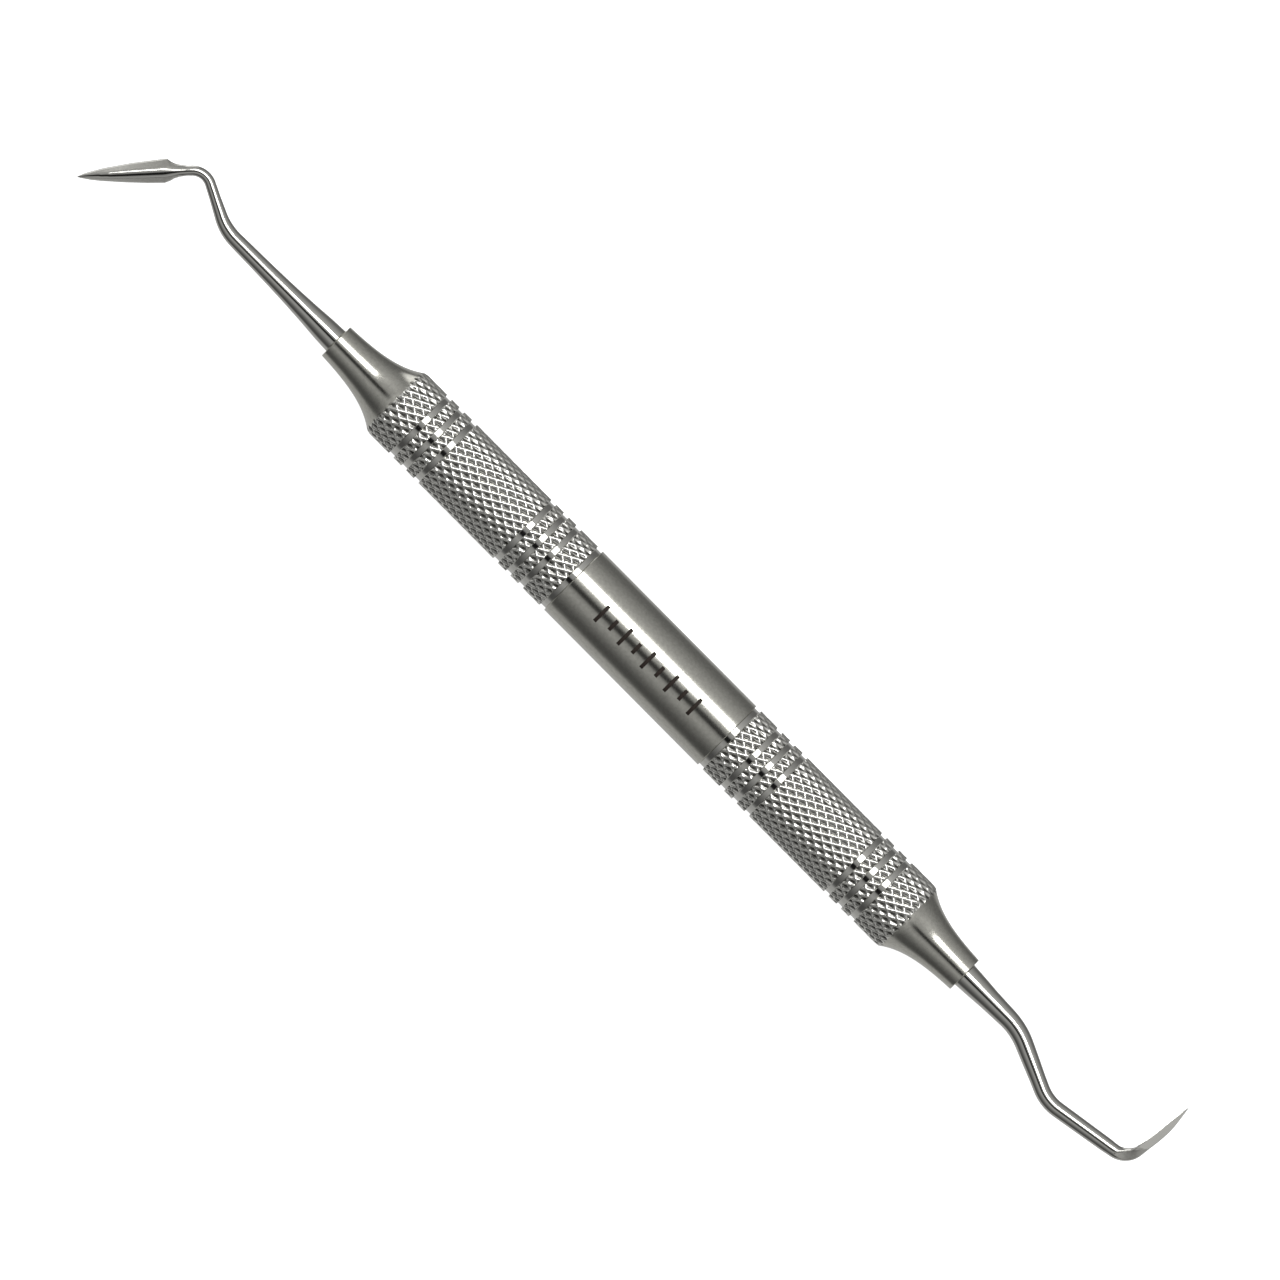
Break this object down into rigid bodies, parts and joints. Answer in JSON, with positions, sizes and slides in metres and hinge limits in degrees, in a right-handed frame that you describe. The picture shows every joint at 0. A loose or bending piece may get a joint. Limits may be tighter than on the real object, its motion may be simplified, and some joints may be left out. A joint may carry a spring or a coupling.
{
  "type": "periodontal hand instrument",
  "caption": "Double-ended steel dental hand instrument with a knurled round handle, bent shanks and spear-shaped blades.",
  "frame": {"origin": "centre of the handle on its axis, halfway between the two cones' small ends", "axes": "+X along the handle towards the right working tip, +Z square to the plane that both shanks bend in, up when the instrument lies flat"},
  "size_m": [0.1678, 0.0154, 0.0096],
  "materials": {
    "satin_steel": "satin",
    "knurled_steel": "satin and knurled",
    "polished_steel": "polished",
    "etched_mark": "dark laser etch"
  },
  "bodies": {
    "root": {"centre_barrel": "satin_steel", "left_grip": "knurled_steel", "right_grip": "knurled_steel", "left_working_tip": "polished_steel", "right_working_tip": "polished_steel"}
  },
  "joints": []
}
